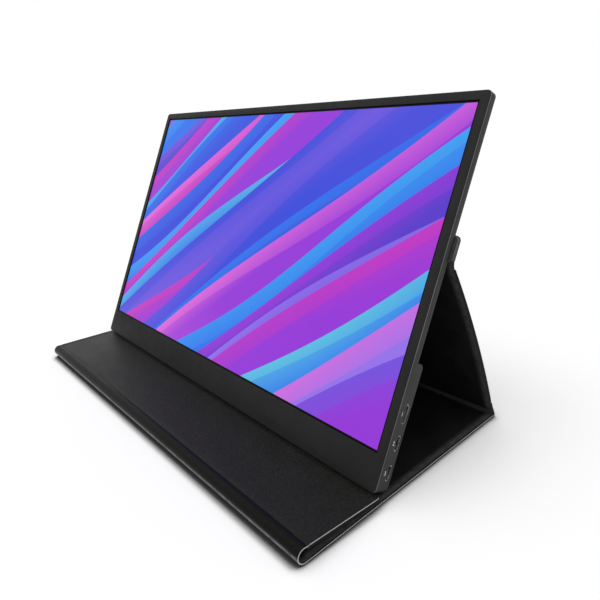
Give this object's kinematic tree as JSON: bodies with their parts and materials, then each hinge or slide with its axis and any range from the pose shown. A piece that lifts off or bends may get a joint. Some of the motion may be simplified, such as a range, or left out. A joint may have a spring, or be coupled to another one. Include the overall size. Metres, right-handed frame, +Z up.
{
  "type": "portable monitor with cover",
  "caption": "Thin portable monitor in a folding leather-grained cover that props it up: base panel, folded flap, rear strut and magnetic tab.",
  "frame": {"origin": "on the table, under the middle of the whole object's box", "axes": "+Z up, +X along the width to the viewer's right, the screen faces -Y"},
  "size_m": [0.361, 0.1696, 0.2001],
  "materials": {
    "cover_skin": "fine-grained black synthetic leather, matt",
    "cover_board": "grey pressed board, cut edge",
    "cover_lining": "black brushed microfibre",
    "magnet": "nickel plated",
    "housing_plastic": "dark grey, finely textured",
    "bezel_plastic": "black, matt",
    "tape": "black foam tape",
    "screen_glass": "lit screen under a matt front polariser",
    "film": "white, diffusing",
    "acrylic": "clear",
    "lamp_strip": "white board with lamps",
    "tray_steel": "zinc plated",
    "circuit_board": "green solder mask",
    "flat_cable": "amber film",
    "socket_metal": "nickel plated",
    "jack_plastic": "black",
    "speaker_plastic": "black",
    "screw_steel": "zinc plated",
    "key_plastic": "black"
  },
  "bodies": {
    "cover_base": {"base_skin": "cover_skin", "base_board": "cover_board", "base_lining": "cover_lining", "front_fold": "cover_skin", "rear_fold": "cover_skin"},
    "flap": {"flap_skin": "cover_skin", "flap_board": "cover_board", "flap_lining": "cover_lining", "flap_magnets": "magnet"},
    "strut": {"spine_board": "cover_board", "strut_skin": "cover_skin", "strut_board": "cover_board", "strut_lining": "cover_lining", "tab_crease": "cover_skin"},
    "tab": {"tab_skin": "cover_skin", "tab_board": "cover_board", "tab_lining": "cover_lining", "tab_magnets": "magnet"},
    "monitor": {"rear_housing": "housing_plastic", "front_bezel": "bezel_plastic", "bezel_tape": "tape", "display_cell": "screen_glass", "film_stack": "film", "light_guide": "acrylic", "reflector_sheet": "film", "led_bar": "lamp_strip", "panel_tray": "tray_steel", "tray_tape": "tape", "panel_board": "circuit_board", "panel_cable": "flat_cable", "main_board": "circuit_board", "key_board": "circuit_board", "key_cable": "flat_cable", "usb_c_sockets": "socket_metal", "mini_hdmi_socket": "socket_metal", "audio_jack": "jack_plastic", "speakers": "speaker_plastic", "board_screws": "screw_steel"},
    "power_key": {"power_button": "key_plastic"},
    "rocker_key": {"menu_rocker": "key_plastic"}
  },
  "joints": [
    {"name": "strut_fold", "type": "hinge", "parent": "cover_base", "child": "strut", "pos_m": [0, 0.08223, 0.0011], "axis": [-1, 0, 0], "range_deg": [0, 105], "deforming": ["rear_fold"]},
    {"name": "tab_fold", "type": "hinge", "parent": "strut", "child": "tab", "pos_m": [0, 0.04223, 0.11402], "axis": [1, 0, 0], "range_deg": [0, 47], "deforming": ["tab_crease"]},
    {"name": "flap_fold", "type": "hinge", "parent": "cover_base", "child": "flap", "pos_m": [0, -0.08007, 0.0047], "axis": [1, 0, 0], "range_deg": [0, 179], "deforming": ["front_fold"]},
    {"name": "monitor_release", "type": "slide", "parent": "tab", "child": "monitor", "axis": [0, -0.8686, 0.4955], "range_m": [0, 0.05]},
    {"name": "power_press", "type": "slide", "parent": "monitor", "child": "power_key", "axis": [1, 0, 0], "range_m": [0, 0.0005], "stiffness_N_per_m": 40},
    {"name": "rocker_tilt", "type": "hinge", "parent": "monitor", "child": "rocker_key", "pos_m": [-0.1766, -0.00331, 0.03741], "axis": [0, -0.8686, 0.4955], "range_deg": [-3, 3], "stiffness_Nm_per_rad": 0.002}
  ],
  "couplings": [
    {"joint": "tab_fold", "follows": "strut_fold", "ratio": 0.4476},
    {"joint": "flap_fold", "follows": "strut_fold", "ratio": 1.7047}
  ]
}
